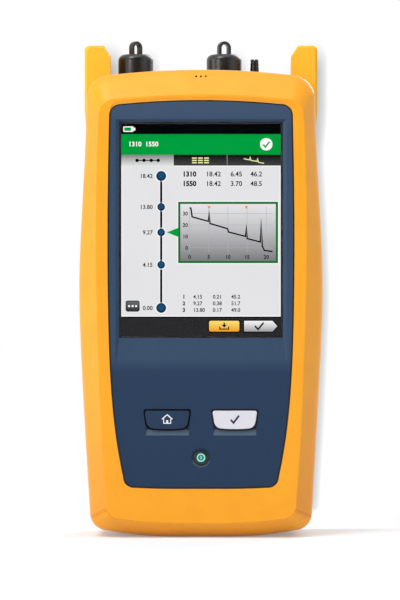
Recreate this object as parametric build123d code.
from build123d import *
import os
from math import cos, pi, sin, sqrt

# Handheld optical time domain reflectometer: a mainframe with a touch display, and a plug-on
# optical module behind it. The front faces -Y, the top is +Z and the foot stands on z = 0.

# Whole instrument. The display sets the width and the height, through the frame round its lit
# area, the housing's flat band and the bevel.
overall_depth = 66.6
screen_width = 86.4
screen_height = 115.2
screen_foot = 109.3
screen_side_frame = 6.8
screen_crown_frame = 12.2
side_band = 7.3
crown_band = 3.5
side_bevel = 9.1
crown_bevel = 14.4
housing_width = screen_width + 2 * (screen_side_frame + side_band + side_bevel)
housing_height = screen_foot + screen_height + screen_crown_frame + crown_band + crown_bevel
front_y = -overall_depth / 2
back_y = overall_depth / 2

# The optical module and the battery fill the back, the base carries them, and the front
# housing takes the rest of the depth.
module_depth = 23.3
base_depth = 12.0
base_back_y = back_y - module_depth
parting_y = base_back_y - base_depth

# Fits and cutters
seat_fit = 0.05
moving_gap = 0.3
thread_fit = 0.05
overrun = 5.0

# Outlines seen from the front. The places are shares of each outline's curved side, from its
# foot corner to its crown corner, and the widths are shares of its own half width.
side_place_shares = (0, 0.17, 0.37, 0.54, 0.755, 1)
body_width_shares = (0.911, 0.947, 0.983, 1, 0.973, 0.937)
rim_width_shares = (0.897, 0.942, 0.974, 0.993, 1, 0.974)
panel_width_shares = (0.832, 0.938, 0.987, 1, 1, 0.984)
foot_flat = 30.0
body_foot_sag = 3.4
body_crown_sag = 2.8
body_foot_corner = 9.5
body_crown_corner = 13.0

# Front housing
bevel_depth = 11.0
foot_bevel = 8.0
rim_foot_sag = 2.2
rim_crown_sag = 2.4
rim_foot_corner = 7.0
rim_crown_corner = 9.0
rim_round = 1.0
brow_round = 3.0
brow_share = 0.3
brow_steps = 4
crown_slope = 0.75
housing_wall = 2.8
housing_draft = 0.6
bevel_y = front_y + bevel_depth
sound_hole_radius = 0.55
sound_hole_pitch = 2.65
sound_hole_drop = 4.0
sound_hole_count = 3

# Front panel with the sunk display window, and the seal round it
foot_band = 19.3
panel_foot_sag = 0.6
panel_crown_sag = 2.2
panel_foot_corner = 5.2
panel_crown_corner = 5.6
panel_setback = 0.9
panel_thick = 2.8
panel_edge_round = 0.3
seal_width = 0.55
seal_setback = 0.12
ledge_width = 1.8
ledge_outside = 2.0
ledge_thick = 2.5
panel_front = front_y + panel_setback
panel_back = panel_front + panel_thick

# Display: the black border that shows round the lit area, and the sloping window sides
screen_top = screen_foot + screen_height
border_width = 1.2
border_foot = 0.8
lip_thick = 1.0
ramp_height = 14.3
window_flare = 1.9
window_crown_flare = 1.4
glass_thick = 1.2
glass_overlap = 2.2
glass_corner = 1.5
display_thick = 4.0
display_margin = 2.5
glass_y = panel_back
display_y = glass_y + glass_thick + seat_fit
chassis_y = display_y + display_thick + seat_fit

# Keys. The two labelled keys taper downwards, and a ramp rises below each to the panel's face.
key_gap = 0.9
key_front_gap = 0.05
key_travel = 0.9
key_stop_gap = 0.25
key_flange = 1.8
key_flange_thick = 1.0
key_round = 0.35
key_width = 24.4
key_height = 9.3
key_foot_z = 59.8
key_offset = 18.3
key_top_corner = 1.2
key_foot_corner = 4.2
key_taper = 1.5
key_belly = 0.7
ramp_reach = 3.2
ramp_depth = 1.1
ramp_inset = 0.5
ramp_overlap = 1.2
power_radius = 3.5
power_dish = 0.9
power_dish_depth = 0.5
power_z = 43.7
key_front = front_y + key_front_gap
sheet_y = panel_back + key_stop_gap + key_flange_thick + key_travel + key_stop_gap

# Keypad sheet and board, carried on the panel's posts
sheet_thick = 1.2
keypad_half_width = 36.0
keypad_foot = 34.9
keypad_top = 95.9
keypad_corner = 4.0
keypad_post_inset = 3.6
keypad_post_radius = 1.8
keypad_post_hole = 2.2
keypad_board_thick = 1.2
keypad_board_y = sheet_y + sheet_thick
switch_radius = 2.4
switch_height = 0.6

# Display chassis, mainboard and their screws
chassis_thick = 1.5
chassis_side = 9.1
chassis_drop = 8.9
chassis_top_gap = 0.6
chassis_half_width = screen_width / 2 + chassis_side
chassis_foot = screen_foot - chassis_drop
chassis_top = screen_top - chassis_top_gap
chassis_corner = 4.0
chassis_window = 26.0
chassis_post_inset_x = 1.7
chassis_post_x = chassis_half_width - chassis_post_inset_x
chassis_post_radius = 2.0
chassis_post_inset = 10.0
standoff_radius = 2.4
standoff_height = 3.2
standoff_inset = 6.0
board_thick = 1.6
board_inset = 5.3
board_foot = 31.9
board_tab = 9.0
board_tab_drop = 10.0
board_tab_height = 63.0
board_half_width = chassis_half_width - board_inset
board_top = chassis_top
board_tab_half_width = board_half_width + board_tab
board_tab_top = board_top - board_tab_drop
standoff_x = board_half_width - standoff_inset
board_corner = 3.0
board_y = chassis_y + chassis_thick + standoff_height
board_back = board_y + board_thick
small_screw_radius = 0.9
small_head_radius = 1.9
small_head_height = 1.2
small_screw_length = 5.0

# Sounder behind the sound holes
sounder_radius = 4.2
sounder_thick = 3.0
sounder_drop = 10.1
sounder_cup_wall = 0.9
sounder_lead = 1.1
sounder_y = bevel_y - sounder_lead

# Mainframe base, its battery bay and its screws
base_wall = 2.6
back_bevel_depth = 6.3
back_bevel = 4.4
bay_top = 92.0
bay_wall = 4.9
bay_sill = 5.6
bay_bridge = 4.2
lap_height = 1.4
lap_thick = 1.2
screw_height_shares = (0.095, 0.52, 0.905)
screw_inset = 9.5
boss_radius = 3.3
screw_radius = 1.45
screw_head_radius = 2.75
screw_head_height = 2.0
screw_seat = 4.0
screw_bite = 8.0

# Side sockets of the mainframe
port_wall_gap = 0.3
usb_width = 13.2
usb_height = 5.8
usb_length = 14.0
usb_wall = 0.4
usb_tongue = 1.9
usb_drop = 24.0
micro_width = 7.8
micro_height = 2.9
micro_length = 6.0
micro_drop = 18.0
headset_radius = 1.8
headset_body = 6.0
headset_length = 14.0
headset_drop = 16.0
dc_body = 9.0
dc_length = 14.0
dc_radius = 2.9
dc_pin_radius = 1.0
usb_z = board_tab_top - usb_drop
micro_z = usb_z - micro_drop
headset_z = micro_z - headset_drop
dc_z = usb_z

# Optical module: shell, front plate, guards with their horns, and the port panel
guard_width = 16.6
module_half_width = housing_width / 2 - guard_width
module_wall = 2.4
module_foot_gap = 0.6
module_foot = bay_top + module_foot_gap
module_plate_thick = 2.0
module_edge_round = 2.0
port_panel_drop = 10.6
port_panel_z = housing_height - port_panel_drop
module_top = port_panel_z
port_panel_thick = 2.4
port_ledge = 1.2
module_y = base_back_y + seat_fit
module_shell_y = module_y + module_plate_thick
port_y = (module_shell_y + back_y - module_wall) / 2

guard_gap = 0.2
horn_side_gap = 1.8
horn_rise = 26.2
horn_slope = 3.4
horn_lead = 0.4
horn_lead_drop = 5.4
horn_round = 2.7
horn_flare_drop = 9.0
horn_root_drop = 31.0
guard_inner_x = module_half_width + guard_gap
horn_width_half = housing_width / 2 - horn_side_gap
horn_top = port_panel_z + horn_rise
horn_lead_x = guard_inner_x + horn_lead
horn_flat_x = horn_lead_x + horn_slope
horn_flare_z = port_panel_z - horn_flare_drop
horn_root_z = port_panel_z - horn_root_drop
horn_edge = 1.2

# Ports: the two ferrule adapters, the locator port and its button
button_inset = 8.6
locator_pitch = 11.3
multimode_pitch = 17.0
single_mode_inset = 13.4
single_mode_x = single_mode_inset - module_half_width
locator_button_x = module_half_width - button_inset
locator_x = locator_button_x - locator_pitch
multimode_x = locator_x - multimode_pitch
ferrule_bore = 1.26
sleeve_radius = 1.6
sleeve_length = 11.4
sleeve_slit = 0.4
adapter_radius = 4.5
adapter_wall = 1.0
adapter_rise = 13.5
adapter_below = 10.0
adapter_flange_radius = 7.4
adapter_flange_thick = 2.0
adapter_core_radius = 2.4
adapter_core_drop = 1.9
adapter_well = 11.0
adapter_key_width = 2.2
locator_collar_radius = 1.92
locator_rise = 11.0
locator_base_radius = 4.6
locator_base_height = 2.0
locator_below = 8.0
locator_button_radius = 2.6
locator_button_travel = 0.8
locator_button_rise = 2 * locator_button_travel
locator_button_stem = 5.0
locator_collar_wall = 1.2

# Dust caps
cap_radius = 9.75
cap_rise = 21.9
cap_top = port_panel_z + cap_rise
cap_gap = 0.4
cap_bore_gap = 0.35
cap_head_room = 0.6
cap_round = 3.4
cap_grip_count = 24
cap_grip_radius = 0.45
loop_width = 7.4
loop_depth = 3.2
loop_band = 1.75
loop_rise = 7.5
loop_round = 0.35
loop_sink = 1.0
single_mode_turn = 40.0
multimode_turn = 22.0
small_cap_radius = 3.0
small_cap_tip_radius = 2.2
small_cap_tip_round = 0.6
small_cap_rise = 19.3
small_cap_top = port_panel_z + small_cap_rise
small_cap_fit = 0.08
small_cap_rib = 0.14
small_cap_rib_count = 7
small_cap_slot = 0.7
small_cap_slot_depth = 0.6

# Optics inside the module
optics_pillar = 3.6
optics_board_thick = 1.6
optics_side_gap = 5.8
optics_foot_gap = 16.9
optics_top_gap = 15.0
optics_board_y = module_shell_y + optics_pillar
optics_half_width = module_half_width - optics_side_gap
optics_foot = module_foot + optics_foot_gap
optics_top = port_panel_z - optics_top_gap
optics_chip = 12.0
coil_radius_share = 0.545
coil_section = 3.0
coil_inset = 6.0
coil_drop = 69.0
coil_radius = optics_half_width * coil_radius_share
coil_x = coil_radius + coil_inset - optics_half_width
coil_z = port_panel_z - coil_drop
can_radius = 3.0
can_length = 11.0
can_pitch = 10.0
can_count = 4
can_inset = 28.0
can_drop = 36.0
can_x = optics_half_width - can_inset
can_z = port_panel_z - can_drop
detector_radius = 2.7
detector_length = 8.0
detector_count = 2
plug_width = 34.0
plug_height = 6.0
plug_rise = 31.4
plug_z = module_foot + plug_rise
plug_nose = 3.0
socket_wall = 1.6
socket_flange = 3.0
socket_flange_thick = 2.0
module_screw_inset = 8.8
module_screw_x = module_half_width - module_screw_inset
module_screw_rise = 8.0
module_screw_radius = 1.5
module_head_radius = 4.2
module_head_height = 4.6
module_head_setback = 0.6
module_boss_radius = 6.4
module_insert_radius = 3.6
module_insert_depth = 6.0

# Tilt stand folded into the back of the module
stand_side_gap = 18.8
stand_length = 84.0
stand_hinge_drop = 27.0
stand_half_width = module_half_width - stand_side_gap
stand_hinge_z = port_panel_z - stand_hinge_drop
stand_thick = 3.0
stand_setback = 0.5
stand_gap = 0.6
stand_barrel = 1.9
stand_pin_radius = 0.9
stand_pin_fit = 0.06
stand_pin_bite = 4.0
stand_notch = 9.0
stand_recess_wall = 2.0
stand_window_inset = 9.0
stand_corner = 3.0

# Battery: case, cells, board, latch and charge gauge
battery_gap = 0.35
battery_wall = 2.0
battery_corner = 3.0
cell_radius = 9.1
cell_length = 65.0
cell_count = 3
cell_gap = 0.4
cell_low_gap = 0.3
battery_board_margin = 3.0
battery_board_thick = 1.6
contact_width = 24.0
contact_height = 7.0
contact_thick = 2.6
contact_inset = 33.4
contact_drop = 16.0
contact_x = housing_width / 2 - contact_inset
contact_z = bay_top - contact_drop
blade_count = 4
blade_pitch = 5.2
blade_width = 1.6
blade_rise = 0.3
latch_width = 26.0
latch_height = 9.0
latch_thick = 3.0
latch_drop = 8.0
latch_travel = 3.2
latch_tongue_width = 14.0
latch_tongue_thick = 2.4
latch_rib_count = 4
latch_rib_radius = 0.5
gauge_inset = 24.4
gauge_x = housing_width / 2 - gauge_inset
gauge_z = contact_z
gauge_button_radius = 3.2
gauge_button_rise = 0.5
gauge_button_thick = 3.0
gauge_travel = 0.8
gauge_light_count = 4
gauge_light_pitch = 3.6
gauge_light_width = 2.6
gauge_light_height = 1.4
gauge_light_gap = 6.4


# Drawing helpers


def front_plane(y):
    """The plane at this depth, drawn as seen from the front: x to the right and z up."""
    return Plane(origin=(0, y, 0), x_dir=(1, 0, 0), z_dir=(0, -1, 0))


def slab(face, y_low, y_high):
    """A front-view face made into a solid between two depths."""
    return extrude(front_plane(y_high) * face, y_high - y_low)


def block(x_low, x_high, y_low, y_high, z_low, z_high):
    """A box given by its limits."""
    size = (x_high - x_low, y_high - y_low, z_high - z_low)
    middle = ((x_high + x_low) / 2, (y_high + y_low) / 2, (z_high + z_low) / 2)
    return Pos(*middle) * Box(*size)


def rod_y(radius, x, z, y_low, y_high):
    """A round bar along Y."""
    bar = Rot(90, 0, 0) * Cylinder(radius, y_high - y_low)
    return Pos(x, (y_low + y_high) / 2, z) * bar


def rod_x(radius, y, z, x_low, x_high):
    """A round bar along X."""
    bar = Rot(0, 90, 0) * Cylinder(radius, x_high - x_low)
    return Pos((x_low + x_high) / 2, y, z) * bar


def rod_z(radius, x, y, z_low, z_high):
    """A round bar along Z."""
    return Pos(x, y, (z_low + z_high) / 2) * Cylinder(radius, z_high - z_low)


def rounded_plate(x_low, x_high, z_low, z_high, corner):
    """A rounded rectangle drawn in the front view."""
    place = Pos((x_low + x_high) / 2, (z_low + z_high) / 2)
    return place * RectangleRounded(x_high - x_low, z_high - z_low, corner)


def turned(points, x, y):
    """A solid turned about a vertical line from (radius, height) points."""
    profile = make_face(Plane.XZ * Polyline(*points, close=True))
    return Pos(x, y, 0) * revolve(profile, Axis.Z)


def save(solid, name):
    """One file for each piece."""
    solid.label = name
    export_step(solid, os.path.join("parts", name + ".step"))


class Outline:
    """A portrait outline: flat-centred foot, crowned top, round corners, curved sides."""

    def __init__(self, half_width, shares, foot, crown, sags, corners):
        self.half_width = half_width
        self.shares = shares
        self.foot = foot
        self.crown = crown
        self.foot_sag, self.crown_sag = sags
        self.foot_corner, self.crown_corner = corners
        self.side_low = foot + self.foot_sag + self.foot_corner
        self.side_high = crown - self.crown_sag - self.crown_corner

    def side_points(self, inset):
        """The right side's points, from the foot corner up to the crown corner."""
        run = self.side_high - self.side_low
        return [
            (self.half_width * width - inset, self.side_low + run * place)
            for place, width in zip(side_place_shares, self.shares)
        ]

    def half_width_at(self, z):
        """Half width at a height, read off the straight lines between the side's points."""
        points = self.side_points(0)
        for (x_low, z_low), (x_high, z_high) in zip(points, points[1:]):
            if z <= z_high:
                share = max(0, (z - z_low) / (z_high - z_low))
                return x_low + (x_high - x_low) * share
        return points[-1][0]

    def face(self, inset=0):
        """The outline as a face, drawn smaller all round by the inset."""
        low_corner = self.foot_corner - inset
        high_corner = self.crown_corner - inset
        sides = self.side_points(inset)
        low_x = sides[0][0] - low_corner
        high_x = sides[-1][0] - high_corner
        foot = self.foot + inset
        crown = self.crown - inset
        flat = foot_flat / 2
        diagonal = sqrt(1 / 2)
        low_z = foot + self.foot_sag
        high_z = crown - self.crown_sag
        low_bulge = (low_x + low_corner * diagonal, low_z + low_corner * (1 - diagonal))
        high_bulge = (high_x + high_corner * diagonal, high_z - high_corner * (1 - diagonal))
        right = [
            ThreePointArc((flat, foot), ((flat + low_x) / 2, foot + self.foot_sag / 4), (low_x, low_z)),
            ThreePointArc((low_x, low_z), low_bulge, sides[0]),
            Spline(*sides),
            ThreePointArc(sides[-1], high_bulge, (high_x, high_z)),
        ]
        left = [edge.mirror(Plane.YZ) for edge in right]
        middle = [
            Line((-flat, foot), (flat, foot)),
            ThreePointArc((-high_x, high_z), (0, crown), (high_x, high_z)),
        ]
        return make_face(middle + right + left)


body = Outline(
    housing_width / 2,
    body_width_shares,
    0,
    housing_height,
    (body_foot_sag, body_crown_sag),
    (body_foot_corner, body_crown_corner),
)
rear = Outline(
    body.half_width - housing_draft,
    body_width_shares,
    0,
    housing_height - housing_draft,
    (body_foot_sag, body_crown_sag),
    (body_foot_corner, body_crown_corner),
)
rim = Outline(
    body.half_width - side_bevel,
    rim_width_shares,
    foot_bevel,
    housing_height - crown_bevel,
    (rim_foot_sag, rim_crown_sag),
    (rim_foot_corner, rim_crown_corner),
)
panel = Outline(
    rim.half_width - side_band,
    panel_width_shares,
    rim.foot + foot_band,
    rim.crown - crown_band,
    (panel_foot_sag, panel_crown_sag),
    (panel_foot_corner, panel_crown_corner),
)


# The panel's outline stretched up over the crown band, where the band starts to slope in
crown_line = Outline(
    panel.half_width,
    panel_width_shares,
    panel.foot,
    rim.crown - rim_round,
    (panel_foot_sag, panel_crown_sag),
    (panel_foot_corner, panel_crown_corner),
)


def blend(first, second, share):
    """The outline this share of the way from the first outline to the second."""

    def mix(a, b):
        return a + (b - a) * share

    return Outline(
        mix(first.half_width, second.half_width),
        [mix(a, b) for a, b in zip(first.shares, second.shares)],
        mix(first.foot, second.foot),
        mix(first.crown, second.crown),
        (mix(first.foot_sag, second.foot_sag), mix(first.crown_sag, second.crown_sag)),
        (mix(first.foot_corner, second.foot_corner), mix(first.crown_corner, second.crown_corner)),
    )


def skin(*sections):
    """A solid through front-view faces at increasing depths, straight between them."""
    return loft([front_plane(y) * face for face, y in sections], ruled=True)


def screw_places():
    """The housing screws, as (x, z), in mirrored pairs up the sides."""
    places = []
    for share in screw_height_shares:
        z = housing_height * share
        x = body.half_width_at(z) - screw_inset
        places += [(-x, z), (x, z)]
    return places


# Display window sizes, shared by the panel, the glass and the display
window_half = screen_width / 2 + border_width
window_low = screen_foot - border_foot
window_high = screen_foot + screen_height + border_width


def window_cutter():
    """The sunk window: a ramp at its foot, narrow slopes at the sides, and the opening."""
    lip_y = panel_back - lip_thick
    reach = (lip_y - panel_front + overrun) / (lip_y - panel_front)
    side = window_flare * reach
    low = ramp_height * reach
    high = window_crown_flare * reach
    deep = Rectangle(2 * window_half, window_high - window_low)
    deep = Pos(0, (window_low + window_high) / 2) * deep
    wide = Rectangle(2 * (window_half + side), window_high - window_low + low + high)
    wide = Pos(0, (window_low - low + window_high + high) / 2) * wide
    ramp = loft([front_plane(panel_front - overrun) * wide, front_plane(lip_y) * deep], ruled=True)
    return ramp + slab(deep, lip_y - seat_fit, panel_back + overrun)


def key_face(margin=0):
    """One labelled key from the front, at x = 0: flat top, tapered sides, round belly."""
    top = key_foot_z + key_height + margin
    low = key_foot_z - margin
    half = key_width / 2 + margin
    foot_half = half - key_taper
    sides = Polyline((-foot_half, low), (-half, top), (half, top), (foot_half, low))
    belly = ThreePointArc((foot_half, low), (0, low - key_belly), (-foot_half, low))
    outline = make_face(sides.edges() + [belly])
    corners = outline.vertices().sort_by(Axis.Y)
    outline = fillet(corners[-2:], key_top_corner)
    feet = outline.vertices().sort_by(Axis.Y)[:2]
    return fillet(feet, key_foot_corner)


def key_ramp():
    """The cutter below a labelled key: deepest at the key, it runs out on the panel's face."""
    edge = key_foot_z - key_gap
    side = [
        (panel_front, edge - ramp_reach),
        (panel_front + ramp_depth, edge),
        (panel_front + ramp_depth, edge + ramp_overlap),
        (front_y, edge + ramp_overlap),
        (front_y, edge - ramp_reach),
    ]
    half = key_width / 2 - ramp_inset
    return extrude(Plane.YZ * make_face(Polyline(*side, close=True)), half, both=True)


def key_places():
    """The centre lines of the two labelled keys."""
    return {"home_key": -key_offset, "test_key": key_offset}


def keypad_posts():
    """Where the panel's posts stand, as (x, z)."""
    x = keypad_half_width - keypad_post_inset
    low = keypad_foot + keypad_post_inset
    high = keypad_top - keypad_post_inset
    return [(side * x, z) for side in (-1, 1) for z in (low, high)]


def chassis_posts():
    """Where the housing's posts for the display chassis stand, as (x, z)."""
    low = chassis_foot + chassis_post_inset
    high = chassis_top - chassis_post_inset / 2
    return [(side * chassis_post_x, z) for side in (-1, 1) for z in (low, high)]


def standoffs():
    """Where the chassis carries the mainboard, as (x, z)."""
    low = chassis_foot + chassis_post_inset
    high = chassis_top - chassis_post_inset
    return [(side * standoff_x, z) for side in (-1, 1) for z in (low, high)]


# Mainframe, front half


def brow_sections():
    """Sections of the rounded brow, where the bevel turns into the side."""
    sections = []
    for index in range(brow_steps + 1):
        t = index / brow_steps
        share = 1 - brow_share * (1 - t) ** 2
        y = bevel_y - brow_share * bevel_depth * (1 - t) ** 2 + brow_round * t**2
        sections.append((blend(rim, body, share).face(), y))
    return sections


def front_shell():
    """The outer form of the front housing: flat rim, wide bevel, slightly drafted sides."""
    form = skin((rim.face(), front_y), *brow_sections(), (rear.face(), parting_y))
    rim_edges = form.faces().sort_by(Axis.Y)[0].edges()
    return fillet(rim_edges, rim_round)


def side_port_cutters():
    """Openings in the housing's side walls for the sockets."""
    far = housing_width / 2 + overrun
    near = housing_width / 2 - screw_inset
    gap = port_wall_gap
    usb_y = board_back + usb_height / 2
    micro_y = board_back + micro_height / 2
    headset_y = board_back + headset_body / 2
    dc_y = board_back + dc_body / 2
    cuts = block(
        near, far, usb_y - usb_height / 2 - gap, usb_y + usb_height / 2 + gap,
        usb_z - usb_width / 2 - gap, usb_z + usb_width / 2 + gap,
    )
    cuts += block(
        near, far, micro_y - micro_height / 2 - gap, micro_y + micro_height / 2 + gap,
        micro_z - micro_width / 2 - gap, micro_z + micro_width / 2 + gap,
    )
    cuts += rod_x(headset_body / 2 + gap, headset_y, headset_z, near, far)
    cuts += rod_x(dc_body / 2 + gap, dc_y, dc_z, -far, -near)
    return cuts


def front_housing():
    """Yellow front shell with its ledge for the panel, posts, bosses and sound holes."""
    outer = front_shell()
    inner_bevel_y = bevel_y + housing_wall / 2
    cavity = skin(
        (rim.face(), panel_back),
        (body.face(housing_wall), inner_bevel_y),
        (rear.face(housing_wall), parting_y + seat_fit),
    )
    shell = outer - cavity
    ledge = slab(panel.face(-ledge_outside), panel_back, panel_back + ledge_thick)
    inside = [ledge]
    for x, z in chassis_posts():
        inside.append(rod_y(chassis_post_radius, x, z, panel_back, chassis_y))
    for x, z in screw_places():
        inside.append(rod_y(boss_radius, x, z, panel_back + ledge_thick, parting_y))
    cup_z = housing_height - sounder_drop
    cup_radius = sounder_radius + seat_fit + sounder_cup_wall
    cup_end = sounder_y + sounder_thick / 2
    inside.append(rod_y(cup_radius, 0, cup_z, panel_back, cup_end))
    for piece in inside:
        shell = shell + (piece & outer)
    shell = shell - rod_y(sounder_radius + seat_fit, 0, cup_z, sounder_y, cup_end + overrun)
    shell = shell - skin((crown_line.face(), front_y), (panel.face(), front_y + crown_slope))
    shell = shell - slab(panel.face(-seal_width), front_y - overrun, panel_back)
    shell = shell - slab(panel.face(ledge_width), front_y, panel_back + ledge_thick + seat_fit)
    for x, z in chassis_posts():
        depth = small_screw_length - chassis_thick
        shell = shell - rod_y(small_screw_radius + thread_fit, x, z, chassis_y - depth, chassis_y)
    for x, z in screw_places():
        shell = shell - rod_y(screw_radius + thread_fit, x, z, parting_y - screw_bite, parting_y + overrun)
    hole_z = housing_height - sound_hole_drop
    for index in range(sound_hole_count):
        x = (index - (sound_hole_count - 1) / 2) * sound_hole_pitch
        shell = shell - rod_y(sound_hole_radius, x, hole_z, front_y, inner_bevel_y)
    return shell - side_port_cutters()


def panel_seal():
    """Black ring between the housing and the front panel."""
    outside = panel.face(seat_fit - seal_width)
    inside = panel.face(-seat_fit)
    ring = slab(outside, panel_front + seal_setback, panel_back)
    return ring - slab(inside, front_y - overrun, panel_back + overrun)


def front_panel():
    """Slate panel: sunk display window, key openings with their ramps, posts behind."""
    plate = skin(
        (panel.face(panel_edge_round), panel_front),
        (panel.face(), panel_front + panel_edge_round),
        (panel.face(), panel_back),
    )
    plate = plate - window_cutter()
    for x in key_places().values():
        plate = plate - Pos(x, 0, 0) * (key_ramp() + slab(key_face(key_gap), front_y, panel_back + overrun))
    hole_radius = power_radius + key_gap
    plate = plate - rod_y(hole_radius, 0, power_z, front_y, panel_back + overrun)
    dish = Rot(90, 0, 0) * Cone(hole_radius, hole_radius + power_dish, power_dish_depth)
    plate = plate - Pos(0, panel_front + power_dish_depth / 2, power_z) * dish
    for x, z in keypad_posts():
        post = rod_y(keypad_post_radius, x, z, panel_back, keypad_board_y)
        plate = plate + post
        screw_tip = keypad_board_y + keypad_board_thick - small_screw_length
        plate = plate - rod_y(small_screw_radius + thread_fit, x, z, screw_tip, keypad_board_y)
    return plate


def touch_glass():
    """Glass behind the window lip; its printed border shows round the lit area."""
    low = window_low - glass_overlap
    high = window_high + glass_overlap
    half = window_half + glass_overlap
    return slab(rounded_plate(-half, half, low, high, glass_corner), glass_y, glass_y + glass_thick)


def display_module():
    """Liquid crystal display in its metal frame."""
    half = screen_width / 2 + display_margin
    low = screen_foot - display_margin
    high = screen_foot + screen_height + display_margin
    body_slab = slab(rounded_plate(-half, half, low, high, glass_corner), display_y, display_y + display_thick)
    rear = front_plane(display_y + display_thick)
    return body_slab - extrude(
        rear * (Pos(0, (low + high) / 2) * Rectangle(screen_width, screen_height)), seat_fit * 2
    )


def display_chassis():
    """Pressed plate that clamps the display and carries the mainboard."""
    face = rounded_plate(-chassis_half_width, chassis_half_width, chassis_foot, chassis_top, chassis_corner)
    plate = slab(face, chassis_y, chassis_y + chassis_thick)
    middle = (chassis_foot + chassis_top) / 2
    for side in (-1, 1):
        z = middle + side * chassis_window
        cut = rounded_plate(
            -chassis_window, chassis_window, z - chassis_window / 2, z + chassis_window / 2, chassis_corner
        )
        plate = plate - slab(cut, chassis_y - overrun, chassis_y + chassis_thick + overrun)
    for x, z in standoffs():
        plate = plate + rod_y(standoff_radius, x, z, chassis_y + chassis_thick, board_y)
    for x, z in standoffs():
        plate = plate - rod_y(small_screw_radius + thread_fit, x, z, chassis_y, board_y)
    for x, z in chassis_posts():
        plate = plate - rod_y(small_screw_radius + thread_fit, x, z, chassis_y, chassis_y + chassis_thick)
    return plate


def small_screw(x, z, seat):
    """One board screw, driven from behind, with its head seated at the given depth."""
    shank = rod_y(small_screw_radius, x, z, seat - small_screw_length + seat_fit, seat)
    head = rod_y(small_head_radius, x, z, seat, seat + small_head_height)
    slot = block(
        x - small_head_radius, x + small_head_radius, seat + small_head_height / 2,
        seat + small_head_height, z - small_screw_radius / 4, z + small_screw_radius / 4,
    )
    return shank + head - slot


def board_screws():
    """The alike screws of the chassis, the mainboard and the keypad board."""
    screws = [small_screw(x, z, chassis_y + chassis_thick) for x, z in chassis_posts()]
    screws += [small_screw(x, z, board_back) for x, z in standoffs()]
    screws += [small_screw(x, z, keypad_board_y + keypad_board_thick) for x, z in keypad_posts()]
    return Compound(children=screws)


def keypad_sheet():
    """Rubber sheet with a raised dome ring behind each key."""
    face = rounded_plate(-keypad_half_width, keypad_half_width, keypad_foot, keypad_top, keypad_corner)
    sheet = slab(face, sheet_y, keypad_board_y)
    for x, z in keypad_posts():
        sheet = sheet - rod_y(keypad_post_hole, x, z, sheet_y - overrun, keypad_board_y + overrun)
    for x, z in switch_places():
        sheet = sheet - rod_y(switch_radius + seat_fit, x, z, keypad_board_y - switch_height, keypad_board_y)
    return sheet


def switch_places():
    """One switch behind each key, as (x, z)."""
    z = key_foot_z + key_height / 2
    return [(-key_offset, z), (key_offset, z), (0, power_z)]


def keypad_board():
    """Keypad circuit board with its three dome switches."""
    face = rounded_plate(-keypad_half_width, keypad_half_width, keypad_foot, keypad_top, keypad_corner)
    board = slab(face, keypad_board_y, keypad_board_y + keypad_board_thick)
    for x, z in switch_places():
        board = board + rod_y(switch_radius, x, z, keypad_board_y - switch_height + seat_fit, keypad_board_y)
    for x, z in keypad_posts():
        hole = rod_y(small_screw_radius + thread_fit, x, z, keypad_board_y, keypad_board_y + keypad_board_thick)
        board = board - hole
    return board


def labelled_key(x):
    """One of the two wide keys, with its retaining flange behind the panel."""
    flange_y = panel_back + key_stop_gap
    cap = slab(key_face(), key_front, flange_y)
    cap = fillet(cap.faces().sort_by(Axis.Y)[0].edges(), key_round)
    flange = slab(key_face(key_flange), flange_y, flange_y + key_flange_thick)
    return Pos(x, 0, 0) * (cap + flange)


def power_key():
    """Round power key with a dished face."""
    flange_y = panel_back + key_stop_gap
    cap = rod_y(power_radius, 0, power_z, key_front, flange_y)
    cap = fillet(cap.faces().sort_by(Axis.Y)[0].edges(), key_round)
    return cap + rod_y(power_radius + key_flange, 0, power_z, flange_y, flange_y + key_flange_thick)


def mainboard():
    """Main circuit board, widened where the side sockets sit, with its larger packages."""
    face = rounded_plate(-board_half_width, board_half_width, board_foot, board_top, board_corner)
    tabs = rounded_plate(
        -board_tab_half_width, board_tab_half_width, board_tab_top - board_tab_height, board_tab_top,
        board_corner,
    )
    board = slab(face + tabs, board_y, board_back)
    package = board_half_width / 3
    heights = (board_thick, 2 * board_thick, board_thick, 2 * board_thick)
    for index, height in enumerate(heights):
        z = board_foot + (index + 1) * (board_top - board_foot) / (len(heights) + 1)
        x = package * (1 if index % 2 else -1)
        board = board + block(
            x - package / 2, x + package / 2, board_back, board_back + height,
            z - package / 2, z + package / 2,
        )
    for x, z in standoffs():
        board = board - rod_y(small_screw_radius + thread_fit, x, z, board_y, board_back)
    return board


def sounder():
    """Small disc sounder in its cup behind the sound holes."""
    z = housing_height - sounder_drop
    can = rod_y(sounder_radius, 0, z, sounder_y + seat_fit, sounder_y + sounder_thick)
    return can - rod_y(sounder_radius / 4, 0, z, sounder_y, sounder_y + sounder_thick / 2)


# Mainframe, rear half


def rear_form():
    """The outer form behind the parting line: straight sides and a bevelled back."""
    bevel_start = back_y - back_bevel_depth
    return skin(
        (rear.face(), parting_y),
        (rear.face(), bevel_start),
        (rear.face(back_bevel), back_y),
    )


def bay_face(extra):
    """The battery's outline in the bay, drawn smaller by the extra clearance."""
    reach = housing_width
    window = rounded_plate(
        -reach, reach, bay_sill + extra, bay_top - bay_bridge - extra, battery_corner
    )
    return rear.face(bay_wall + extra) & window


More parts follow.
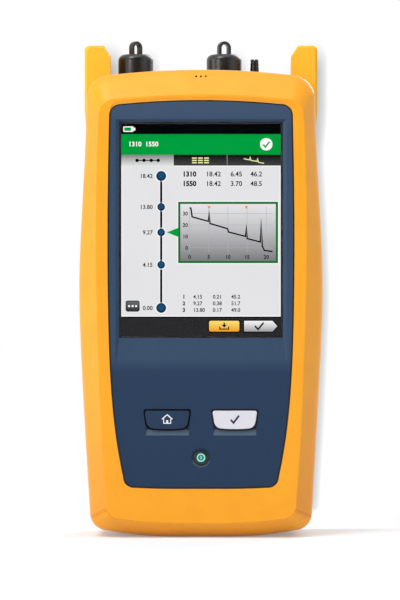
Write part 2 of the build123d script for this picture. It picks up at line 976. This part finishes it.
def mainframe_base():
    """Rear shell of the mainframe with its battery bay, bosses and lap joint."""
    form = rear_form()
    wide = housing_width
    floor = form & block(-wide, wide, parting_y, base_back_y, -wide, 2 * housing_height)
    bay = form & block(-wide, wide, base_back_y, back_y + overrun, -wide, bay_top)
    shell = floor + bay
    shell = shell - slab(rear.face(base_wall), parting_y - overrun, base_back_y - base_wall)
    lap_outer = housing_wall + 2 * seat_fit
    lap = slab(rear.face(lap_outer), parting_y - lap_height, parting_y)
    lap_root = slab(rear.face(), parting_y, parting_y + base_wall)
    core = slab(rear.face(lap_outer + lap_thick), parting_y - overrun, base_back_y - base_wall)
    joint = lap + lap_root - core
    for x, z in screw_places():
        clear = boss_radius + seat_fit
        joint = joint - rod_y(clear, x, z, parting_y - overrun, parting_y)
    shell = shell + (joint - side_port_cutters())
    for x, z in screw_places():
        shell = shell + rod_y(boss_radius, x, z, parting_y + seat_fit, base_back_y - base_wall)
    for side in (-1, 1):
        insert_y = base_back_y - base_wall - module_insert_depth
        x = side * module_screw_x
        z = module_foot + module_screw_rise
        shell = shell + rod_y(module_insert_radius, x, z, insert_y, base_back_y - base_wall)
        shell = shell - rod_y(module_screw_radius + thread_fit, x, z, insert_y - overrun, base_back_y + overrun)
    shell = shell - slab(bay_face(0), base_back_y, back_y + overrun)
    for x, z in screw_places():
        seat = base_back_y - screw_seat
        shell = shell - rod_y(screw_radius + moving_gap, x, z, parting_y - overrun, base_back_y + overrun)
        shell = shell - rod_y(screw_head_radius + moving_gap, x, z, seat, base_back_y + overrun)
    half = plug_width / 2 + socket_wall + seat_fit
    rise = plug_height / 2 + socket_wall + seat_fit
    slot = block(-half, half, parting_y, base_back_y + overrun, plug_z - rise, plug_z + rise)
    return shell - slot


def housing_screws():
    """Pan head screws that close the two halves, driven from behind."""
    screws = []
    for x, z in screw_places():
        seat = base_back_y - screw_seat
        shank = rod_y(screw_radius, x, z, parting_y - screw_bite + seat_fit, seat)
        head = rod_y(screw_head_radius, x, z, seat, seat + screw_head_height)
        socket = rod_y(screw_radius / 2, x, z, seat + screw_head_height / 2, seat + screw_head_height)
        screws.append(shank + head - socket)
    return Compound(children=screws)


def socket_end(z):
    """How far out a side socket reaches: to the inside of the housing's wall."""
    return rear.half_width_at(z) - housing_wall - port_wall_gap


def usb_host_socket():
    """Sheet metal receptacle with its tongue, open to the side."""
    end = socket_end(usb_z)
    y_low = board_back
    y_high = board_back + usb_height
    z_low = usb_z - usb_width / 2
    z_high = usb_z + usb_width / 2
    shell = block(end - usb_length, end, y_low, y_high, z_low, z_high)
    wall = usb_wall
    shell = shell - block(
        end - usb_length + wall, end + overrun, y_low + wall, y_high - wall, z_low + wall, z_high - wall
    )
    tongue = block(
        end - usb_length + wall / 2, end - usb_tongue, y_low + wall / 2, y_low + wall + usb_tongue,
        z_low + usb_tongue, z_high - usb_tongue,
    )
    return shell + tongue


def micro_usb_socket():
    """Small receptacle beside the larger one."""
    end = socket_end(micro_z)
    y_low = board_back
    y_high = board_back + micro_height
    z_low = micro_z - micro_width / 2
    z_high = micro_z + micro_width / 2
    shell = block(end - micro_length, end, y_low, y_high, z_low, z_high)
    wall = usb_wall
    return shell - block(
        end - micro_length + wall, end + overrun, y_low + wall, y_high - wall, z_low + wall, z_high - wall
    )


def headset_jack():
    """Barrel jack for a headset plug."""
    end = socket_end(headset_z)
    y = board_back + headset_body / 2
    case = block(
        end - headset_length, end, board_back, board_back + headset_body,
        headset_z - headset_body / 2, headset_z + headset_body / 2,
    )
    return case - rod_x(headset_radius, y, headset_z, end - headset_length + usb_wall, end + overrun)


def dc_jack():
    """Power inlet: a block with a round well and its centre pin."""
    end = -socket_end(dc_z)
    y = board_back + dc_body / 2
    case = block(
        end, end + dc_length, board_back, board_back + dc_body, dc_z - dc_body / 2, dc_z + dc_body / 2
    )
    case = case - rod_x(dc_radius, y, dc_z, end - overrun, end + dc_length - 2 * dc_pin_radius)
    return case + rod_x(dc_pin_radius, y, dc_z, end + 2 * dc_pin_radius, end + dc_length - dc_pin_radius)


def module_socket():
    """Mainframe half of the module connector, seated in the base's rear wall."""
    half = plug_width / 2 + socket_wall
    rise = plug_height / 2 + socket_wall
    inner_y = base_back_y - base_wall
    nose = block(-half, half, inner_y - socket_flange_thick, base_back_y - seat_fit, plug_z - rise, plug_z + rise)
    flange = block(
        -half - socket_flange, half + socket_flange, inner_y - socket_flange_thick, inner_y,
        plug_z - rise - socket_flange / 2, plug_z + rise + socket_flange / 2,
    )
    well = block(
        -plug_width / 2, plug_width / 2, base_back_y - plug_nose - moving_gap, base_back_y + overrun,
        plug_z - plug_height / 2, plug_z + plug_height / 2,
    )
    return nose + flange - well


# Optical module


def stand_recess():
    """The pocket in the module's back that the stand folds into, as box limits."""
    half = stand_half_width + stand_gap
    depth = stand_thick + stand_setback + stand_gap
    low = stand_hinge_z - stand_length - stand_gap
    high = stand_hinge_z + stand_barrel + stand_gap
    return (-half, half, back_y - depth, back_y + overrun, low, high)


def stand_axis_y():
    """Depth of the stand's hinge pin."""
    return back_y - stand_setback - stand_thick / 2


def module_shell():
    """Rear tub of the module: screw wells, stand recess and the seat of the port panel."""
    half = module_half_width
    tub = block(-half, half, module_shell_y, back_y, module_foot, module_top)
    tub = chamfer(tub.edges().filter_by(Axis.X).sort_by(Axis.Y)[-2:].sort_by(Axis.Z)[-1:], module_edge_round)
    wall = module_wall
    narrow = wall + port_ledge
    tub = tub - block(
        -half + narrow, half - narrow, module_shell_y - overrun, back_y - narrow,
        module_foot + wall, module_top + overrun,
    )
    tub = tub - block(
        -half + wall, half - wall, module_shell_y - overrun, back_y - wall,
        port_panel_z - port_panel_thick, module_top + overrun,
    )
    x_low, x_high, y_low, y_high, z_low, z_high = stand_recess()
    skin_wall = stand_recess_wall
    tub = tub + block(
        x_low - skin_wall, x_high + skin_wall, y_low - skin_wall, back_y,
        z_low - skin_wall, z_high + skin_wall,
    )
    tub = tub - block(x_low, x_high, y_low, y_high, z_low, z_high)
    axis_y = stand_axis_y()
    bite = stand_pin_bite / 2
    tub = tub - rod_x(stand_pin_radius + stand_pin_fit, axis_y, stand_hinge_z, x_low - bite, x_high + bite)
    for side in (-1, 1):
        x = side * module_screw_x
        z = module_foot + module_screw_rise
        seat = back_y - module_head_setback - module_head_height
        tub = tub + rod_y(module_boss_radius, x, z, module_shell_y, back_y)
        tub = tub - rod_y(module_head_radius + 2 * moving_gap, x, z, seat, back_y + overrun)
        tub = tub - rod_y(module_screw_radius + moving_gap, x, z, module_shell_y - overrun, back_y)
    return tub


def module_plate():
    """Front plate of the module, against the mainframe, with the slot for its plug."""
    plate = block(
        -module_half_width, module_half_width, module_y, module_shell_y - seat_fit, module_foot, module_top
    )
    half = plug_width / 2 + moving_gap
    rise = plug_height / 2 + moving_gap
    plate = plate - block(
        -half, half, module_y - overrun, module_shell_y + overrun, plug_z - rise, plug_z + rise
    )
    for side in (-1, 1):
        hole = rod_y(
            module_screw_radius + moving_gap, side * module_screw_x, module_foot + module_screw_rise,
            module_y - overrun, module_shell_y + overrun,
        )
        plate = plate - hole
    return plate


def horn_face(inset):
    """The right horn from the front, from its root to its tip, drawn in from outside."""
    root_x = rear.half_width_at(horn_root_z) - inset
    outer_x = horn_width_half - inset
    top = horn_top - inset
    points = [
        (guard_inner_x, horn_root_z),
        (root_x, horn_root_z),
        (outer_x, horn_flare_z),
        (outer_x, top),
        (horn_flat_x, top),
        (horn_lead_x, top - horn_lead_drop),
        (guard_inner_x, port_panel_z),
    ]
    face = make_face(Polyline(*points, close=True))
    outer = face.vertices().sort_by(Axis.Y)[-2:].sort_by(Axis.X)[-1:]
    return fillet(outer, horn_round)


def right_guard():
    """Right bumper of the module: it follows the body's side and ends in the horn."""
    wide = housing_width
    side = rear_form() & block(guard_inner_x, wide, module_y, wide, module_foot, horn_root_z)
    horn = skin(
        (horn_face(horn_edge), module_y),
        (horn_face(0), module_y + horn_edge),
        (horn_face(0), back_y - back_bevel_depth),
        (horn_face(back_bevel), back_y),
    )
    return side + horn


def port_panel():
    """Plate that carries the ports, seated on the ledge of the module shell."""
    half = module_half_width - module_wall - seat_fit
    plate = block(
        -half, half, module_shell_y, back_y - module_wall - seat_fit,
        port_panel_z - port_panel_thick + seat_fit, port_panel_z,
    )
    low = port_panel_z - port_panel_thick - overrun
    high = port_panel_z + overrun
    for x in (single_mode_x, multimode_x):
        plate = plate - rod_z(adapter_radius + seat_fit, x, port_y, low, high)
    plate = plate - rod_z(locator_collar_radius + seat_fit + locator_collar_wall, locator_x, port_y, low, high)
    return plate - rod_z(locator_button_radius + moving_gap, locator_button_x, port_y, low, high)


def adapter(x):
    """Ferrule adapter: flange under the port panel, barrel above, core for the sleeve."""
    foot = port_panel_z - port_panel_thick - adapter_below
    top = port_panel_z + adapter_rise
    under = port_panel_z - port_panel_thick
    barrel = rod_z(adapter_radius, x, port_y, foot, top)
    flange = rod_z(adapter_flange_radius, x, port_y, under - adapter_flange_thick, under)
    well = rod_z(adapter_radius - adapter_wall, x, port_y, top - adapter_well, top + overrun)
    core = rod_z(adapter_core_radius, x, port_y, foot, top - adapter_core_drop)
    piece = barrel + flange - well + core
    seat_top = top - adapter_core_drop
    piece = piece - rod_z(sleeve_radius + seat_fit, x, port_y, seat_top - sleeve_length, seat_top)
    key = block(
        x - adapter_key_width / 2, x + adapter_key_width / 2, port_y - adapter_radius - overrun,
        port_y - adapter_core_radius, top - adapter_well / 2, top + overrun,
    )
    return piece - key


def sleeve(x):
    """Split ceramic sleeve that lines up the ferrules."""
    seat_top = port_panel_z + adapter_rise - adapter_core_drop
    ring = rod_z(sleeve_radius, x, port_y, seat_top - sleeve_length + seat_fit, seat_top)
    ring = ring - rod_z(ferrule_bore, x, port_y, seat_top - sleeve_length, seat_top + overrun)
    slit = block(
        x - sleeve_slit / 2, x + sleeve_slit / 2, port_y, port_y + 2 * sleeve_radius,
        seat_top - sleeve_length, seat_top + overrun,
    )
    return ring - slit


def locator_port():
    """Visual fault locator port: a round base on the panel and a collar with its bore."""
    foot = port_panel_z - port_panel_thick - locator_below
    top = port_panel_z + locator_rise
    piece = rod_z(locator_collar_radius + locator_collar_wall, locator_x, port_y, foot, port_panel_z)
    piece = piece + rod_z(
        locator_base_radius, locator_x, port_y, port_panel_z, port_panel_z + locator_base_height
    )
    piece = piece + rod_z(locator_collar_radius, locator_x, port_y, port_panel_z, top)
    return piece - rod_z(ferrule_bore, locator_x, port_y, top - sleeve_length, top + overrun)


def locator_button():
    """Push button beside the locator port, on a flange under the panel."""
    under = port_panel_z - port_panel_thick
    top = port_panel_z + locator_button_rise
    cap = rod_z(locator_button_radius, locator_button_x, port_y, under - locator_button_stem, top)
    cap = fillet(cap.faces().sort_by(Axis.Z)[-1].edges(), key_round)
    flange_top = under - moving_gap
    flange = rod_z(
        locator_button_radius + key_flange, locator_button_x, port_y, flange_top - key_flange_thick, flange_top
    )
    return cap + flange


def pull_loop(x, turn):
    """Moulded loop on a cap's top, turned about the cap's axis."""
    outer_radius = loop_width / 2
    inner_radius = outer_radius - loop_band
    leg = loop_rise - outer_radius
    bow = Pos(0, leg) * Circle(outer_radius) + Pos(0, (leg - loop_sink) / 2) * Rectangle(
        loop_width, leg + loop_sink
    )
    hole = Pos(0, leg) * Circle(inner_radius) + Pos(0, leg / 2) * Rectangle(2 * inner_radius, leg)
    bow = bow - hole
    band = extrude(Plane.XZ * bow, loop_depth / 2, both=True)
    band = fillet(band.edges().filter_by(GeomType.CIRCLE), loop_round)
    return Pos(x, port_y, cap_top) * Rot(0, 0, turn) * band


def dust_cap(x, turn):
    """Large round dust cap with its shoulder, finger grips and pull loop."""
    low = port_panel_z + cap_gap
    bore = adapter_radius + cap_bore_gap
    head = port_panel_z + adapter_rise + cap_head_room
    cap = rod_z(cap_radius, x, port_y, low, cap_top)
    cap = fillet(cap.faces().sort_by(Axis.Z)[-1].edges(), cap_round)
    cap = cap - rod_z(bore, x, port_y, low - overrun, head)
    for index in range(cap_grip_count):
        angle = 2 * pi * index / cap_grip_count
        groove_x = x + cap_radius * cos(angle)
        groove_y = port_y + cap_radius * sin(angle)
        cap = cap - rod_z(cap_grip_radius, groove_x, groove_y, low - overrun, low + cap_radius)
    return cap + pull_loop(x, turn)


def locator_cap():
    """Small tapered, ribbed cap of the locator port, with a notched tip."""
    low = port_panel_z + locator_base_height + cap_gap
    head = port_panel_z + locator_rise + cap_head_room
    taper = small_cap_radius - small_cap_tip_radius
    run = small_cap_top - low
    points = [(0, low), (small_cap_radius, low)]
    pitch = run / (2 * small_cap_rib_count + 1)
    for index in range(small_cap_rib_count):
        z = low + (2 * index + 1) * pitch
        radius = small_cap_radius - taper * (z - low) / run
        points += [(radius, z), (radius - small_cap_rib, z), (radius - small_cap_rib, z + pitch), (radius, z + pitch)]
    points += [(small_cap_tip_radius, small_cap_top), (0, small_cap_top)]
    cap = turned(points, locator_x, port_y)
    cap = fillet(cap.edges().sort_by(Axis.Z)[-1], small_cap_tip_round)
    cap = cap - rod_z(locator_collar_radius + small_cap_fit, locator_x, port_y, low - overrun, head)
    slot = block(
        locator_x - small_cap_slot / 2, locator_x + small_cap_slot / 2, port_y - overrun, port_y + overrun,
        small_cap_top - small_cap_slot_depth, small_cap_top + overrun,
    )
    return cap - slot


def optics_board():
    """Circuit board of the module, on pillars from the front plate."""
    back = optics_board_y + optics_board_thick
    face = rounded_plate(-optics_half_width, optics_half_width, optics_foot, optics_top, board_corner)
    board = slab(face, optics_board_y, back)
    for side in (-1, 1):
        for z in (optics_foot + 2 * board_corner, optics_top - 2 * board_corner):
            x = side * (optics_half_width - board_corner)
            board = board + rod_y(standoff_radius, x, z, module_shell_y, optics_board_y)
            board = board - rod_y(small_screw_radius, x, z, module_shell_y, back)
    chip = optics_chip
    for index in range(can_count):
        x = (index - (can_count - 1) / 2) * optics_half_width / 2
        z = optics_foot + board_corner
        board = board + block(x - chip / 2, x + chip / 2, back, back + optics_board_thick, z, z + chip)
    return board


def fibre_coil():
    """Spare fibre wound in a flat ring on the board."""
    back = optics_board_y + optics_board_thick
    centre = Vector(coil_x, back + coil_section / 2 + seat_fit, coil_z)
    ring = Torus(coil_radius, coil_section / 2)
    return Pos(*centre) * Rot(90, 0, 0) * ring


def laser_cans():
    """Round laser packages in a row, lying on the board and pointing at the ports."""
    back = optics_board_y + optics_board_thick
    cans = []
    for index in range(can_count - detector_count):
        x = can_x + index * can_pitch
        y = back + can_radius + seat_fit
        can = rod_z(can_radius, x, y, can_z, can_z + can_length)
        can = can + rod_z(can_radius / 2, x, y, can_z + can_length, can_z + can_length + can_radius)
        cans.append(can)
    return Compound(children=cans)


def detector_cans():
    """Detector packages below the lasers."""
    back = optics_board_y + optics_board_thick
    cans = []
    for index in range(detector_count):
        x = can_x + index * can_pitch
        y = back + detector_radius + seat_fit
        low = can_z - can_length - detector_length
        can = rod_z(detector_radius, x, y, low, low + detector_length)
        can = can + rod_z(detector_radius / 2, x, y, low + detector_length, low + detector_length + detector_radius)
        cans.append(can)
    return Compound(children=cans)


def module_plug():
    """Module half of the connector, on the board and into the mainframe's socket."""
    body_half = plug_width / 2 - seat_fit
    body_rise = plug_height / 2 - seat_fit
    return block(
        -body_half, body_half, base_back_y - plug_nose, optics_board_y, plug_z - body_rise, plug_z + body_rise
    )


def module_screws():
    """Two captive thumb screws that hold the module on the mainframe."""
    screws = []
    for side in (-1, 1):
        x = side * module_screw_x
        z = module_foot + module_screw_rise
        seat = back_y - module_head_setback - module_head_height
        tip = base_back_y - base_wall - module_insert_depth
        head = rod_y(module_head_radius, x, z, seat, seat + module_head_height)
        head = chamfer(head.faces().sort_by(Axis.Y)[-1].edges(), key_round)
        slot = block(
            x - module_head_radius, x + module_head_radius, seat + module_head_height * 2 / 3,
            seat + module_head_height, z - module_screw_radius / 2, z + module_screw_radius / 2,
        )
        screws.append(head - slot + rod_y(module_screw_radius, x, z, tip, seat))
    return Compound(children=screws)


def tilt_stand():
    """Folding stand: a framed plate with its hinge barrel and a finger notch."""
    y_low = back_y - stand_setback - stand_thick
    y_high = back_y - stand_setback
    low = stand_hinge_z - stand_length
    half = stand_half_width
    face = rounded_plate(-half, half, low, stand_hinge_z, stand_corner)
    inset = stand_window_inset
    window = rounded_plate(
        -half + inset, half - inset, low + 2 * inset, stand_hinge_z - inset, stand_corner
    )
    plate = slab(face, y_low, y_high)
    rib_depth = stand_thick / 2
    plate = plate - slab(window, y_low + rib_depth, y_high + overrun)
    notch = Pos(0, low) * Circle(stand_notch)
    plate = plate - slab(notch, y_low - overrun, y_high + overrun)
    axis_y = stand_axis_y()
    plate = plate - block(-half, half, y_low, y_high, stand_hinge_z - stand_corner, stand_hinge_z + overrun)
    knuckle = rod_x(stand_thick / 2, axis_y, stand_hinge_z, -half, half)
    web = block(-half, half, y_low, y_high, stand_hinge_z - 2 * stand_corner, stand_hinge_z)
    plate = plate + web + knuckle
    return plate - rod_x(stand_pin_radius + stand_pin_fit, axis_y, stand_hinge_z, -half - overrun, half + overrun)


def stand_pin():
    """Steel hinge pin of the stand."""
    reach = stand_half_width + stand_gap + stand_pin_bite / 2 - seat_fit
    return rod_x(stand_pin_radius, stand_axis_y(), stand_hinge_z, -reach, reach)


# Battery


def battery_case():
    """Battery pack case: closed tub with wells for its latch, gauge and contacts."""
    face = bay_face(battery_gap)
    y_low = base_back_y + battery_gap
    case = slab(face, y_low, back_y)
    inner = bay_face(battery_gap + battery_wall)
    case = case - slab(inner, y_low + battery_wall, back_y - battery_wall)
    latch_top = bay_top - bay_bridge - latch_drop
    half = latch_width / 2 + moving_gap
    low = latch_top - latch_height - latch_travel - moving_gap
    floor = back_y - latch_thick - moving_gap
    pocket = block(
        -half - battery_wall, half + battery_wall, floor - battery_wall, back_y,
        low - battery_wall, bay_top - bay_bridge - battery_gap,
    )
    case = case + (pocket & slab(face, y_low, back_y))
    case = case - block(-half, half, floor, back_y + overrun, low, latch_top + moving_gap)
    tongue = latch_tongue_width / 2 + moving_gap
    case = case - block(
        -tongue, tongue, floor, back_y - latch_thick + latch_tongue_thick + moving_gap, latch_top, bay_top
    )
    button_y = back_y - gauge_button_thick - gauge_travel
    case = case + rod_y(
        gauge_button_radius + moving_gap + battery_wall / 2, gauge_x, gauge_z, button_y, back_y
    )
    case = case - rod_y(gauge_button_radius + moving_gap, gauge_x, gauge_z, button_y, back_y + overrun)
    for x, z in gauge_light_places():
        case = case - block(
            x - gauge_light_width / 2 - seat_fit, x + gauge_light_width / 2 + seat_fit,
            back_y - battery_wall / 2, back_y + overrun,
            z - gauge_light_height / 2 - seat_fit, z + gauge_light_height / 2 + seat_fit,
        )
    gap = 2 * moving_gap
    depth = contact_thick + blade_rise + gap
    recess_half = contact_width / 2 + gap
    recess_rise = contact_height / 2 + gap
    wall = battery_wall / 2
    case = case + block(
        contact_x - recess_half - wall, contact_x + recess_half + wall, y_low, base_back_y + depth + wall,
        contact_z - recess_rise - wall, contact_z + recess_rise + wall,
    )
    return case - block(
        contact_x - recess_half, contact_x + recess_half, y_low - overrun, base_back_y + depth,
        contact_z - recess_rise, contact_z + recess_rise,
    )


def gauge_light_places():
    """The charge lights, in a row beside the gauge button, as (x, z)."""
    first = gauge_x - gauge_light_gap - (gauge_light_count - 1) * gauge_light_pitch
    return [(first + index * gauge_light_pitch, gauge_z) for index in range(gauge_light_count)]


def gauge_lights():
    """Four small light windows of the charge gauge."""
    lights = []
    for x, z in gauge_light_places():
        lights.append(
            block(
                x - gauge_light_width / 2, x + gauge_light_width / 2, back_y - battery_wall / 2, back_y,
                z - gauge_light_height / 2, z + gauge_light_height / 2,
            )
        )
    return Compound(children=lights)


def gauge_button():
    """Round button that lights the charge gauge."""
    high = back_y - gauge_button_rise + moving_gap
    cap = rod_y(gauge_button_radius, gauge_x, gauge_z, high - gauge_button_thick + seat_fit, high)
    return fillet(cap.faces().sort_by(Axis.Y)[-1].edges(), key_round)


def battery_latch():
    """Sliding latch: ribbed thumb plate and a tongue up to the bay's bridge."""
    top = bay_top - bay_bridge - latch_drop
    half = latch_width / 2
    y_low = back_y - latch_thick
    plate = block(-half, half, y_low, back_y - moving_gap, top - latch_height, top)
    for index in range(latch_rib_count):
        z = top - latch_height * (index + 1) / (latch_rib_count + 1)
        groove = rod_x(latch_rib_radius, back_y - moving_gap, z, -half + latch_drop / 2, half - latch_drop / 2)
        plate = plate - groove
    tongue = latch_tongue_width / 2
    return plate + block(
        -tongue, tongue, y_low, y_low + latch_tongue_thick, top - latch_height / 2,
        bay_top - bay_bridge - battery_gap - seat_fit,
    )


def battery_cells():
    """Round lithium cells lying across the pack."""
    y = (base_back_y + battery_gap + back_y) / 2
    low = bay_wall + body_foot_sag + battery_gap + battery_wall + cell_low_gap + cell_radius
    cells = []
    for index in range(cell_count):
        z = low + index * (2 * cell_radius + cell_gap)
        end = cell_length / 2
        can = rod_x(cell_radius, y, z, -end, end)
        cells.append(can + rod_x(cell_radius / 3, y, z, end, end + cell_radius / 12))
    return Compound(children=cells)


def battery_board():
    """Protection board of the pack, against the back of the contact recess."""
    depth = contact_thick + blade_rise + 2 * moving_gap + battery_wall / 2 + seat_fit
    y = base_back_y + depth
    half = contact_width / 2 + battery_board_margin
    rise = contact_height / 2 + battery_board_margin
    face = rounded_plate(contact_x - half, contact_x + half, contact_z - rise, contact_z + rise, board_corner)
    board = slab(face, y, y + battery_board_thick)
    chip = contact_height / 2
    for side in (-1, 1):
        x = contact_x + side * 2 * chip
        board = board + block(
            x - chip, x + chip, y + battery_board_thick, y + 2 * battery_board_thick,
            contact_z - chip / 2, contact_z + chip / 2,
        )
    return board


def contact_block():
    """Contact block on the bay floor with its sprung blades."""
    half = contact_width / 2
    rise = contact_height / 2
    return block(
        contact_x - half, contact_x + half, base_back_y, base_back_y + contact_thick,
        contact_z - rise, contact_z + rise,
    )


def contact_blades():
    """Gold-plated blades of the contact block."""
    blades = []
    face_y = base_back_y + contact_thick
    for index in range(blade_count):
        x = contact_x + (index - (blade_count - 1) / 2) * blade_pitch
        blades.append(
            block(
                x - blade_width / 2, x + blade_width / 2, face_y, face_y + blade_rise,
                contact_z - contact_height / 3, contact_z + contact_height / 3,
            )
        )
    return Compound(children=blades)


# Every piece by name


def build():
    """All pieces of the instrument."""
    guard = right_guard()
    pieces = {
        "front_housing": front_housing(),
        "panel_seal": panel_seal(),
        "front_panel": front_panel(),
        "touch_glass": touch_glass(),
        "display_module": display_module(),
        "display_chassis": display_chassis(),
        "board_screws": board_screws(),
        "keypad_sheet": keypad_sheet(),
        "keypad_board": keypad_board(),
        "power_key": power_key(),
        "sounder": sounder(),
        "mainboard": mainboard(),
        "mainframe_base": mainframe_base(),
        "housing_screws": housing_screws(),
        "usb_host_socket": usb_host_socket(),
        "micro_usb_socket": micro_usb_socket(),
        "headset_jack": headset_jack(),
        "dc_jack": dc_jack(),
        "module_socket": module_socket(),
        "module_shell": module_shell(),
        "module_plate": module_plate(),
        "right_guard": guard,
        "left_guard": mirror(guard, Plane.YZ),
        "port_panel": port_panel(),
        "single_mode_adapter": adapter(single_mode_x),
        "multimode_adapter": adapter(multimode_x),
        "single_mode_sleeve": sleeve(single_mode_x),
        "multimode_sleeve": sleeve(multimode_x),
        "locator_port": locator_port(),
        "locator_button": locator_button(),
        "single_mode_cap": dust_cap(single_mode_x, single_mode_turn),
        "multimode_cap": dust_cap(multimode_x, multimode_turn),
        "locator_cap": locator_cap(),
        "optics_board": optics_board(),
        "fibre_coil": fibre_coil(),
        "laser_cans": laser_cans(),
        "detector_cans": detector_cans(),
        "module_plug": module_plug(),
        "module_screws": module_screws(),
        "tilt_stand": tilt_stand(),
        "stand_pin": stand_pin(),
        "battery_case": battery_case(),
        "battery_cells": battery_cells(),
        "battery_board": battery_board(),
        "battery_latch": battery_latch(),
        "gauge_button": gauge_button(),
        "gauge_lights": gauge_lights(),
        "contact_block": contact_block(),
        "contact_blades": contact_blades(),
    }
    for name, x in key_places().items():
        pieces[name] = labelled_key(x)
    return pieces


os.makedirs("parts", exist_ok=True)
for name, solid in build().items():
    save(solid, name)
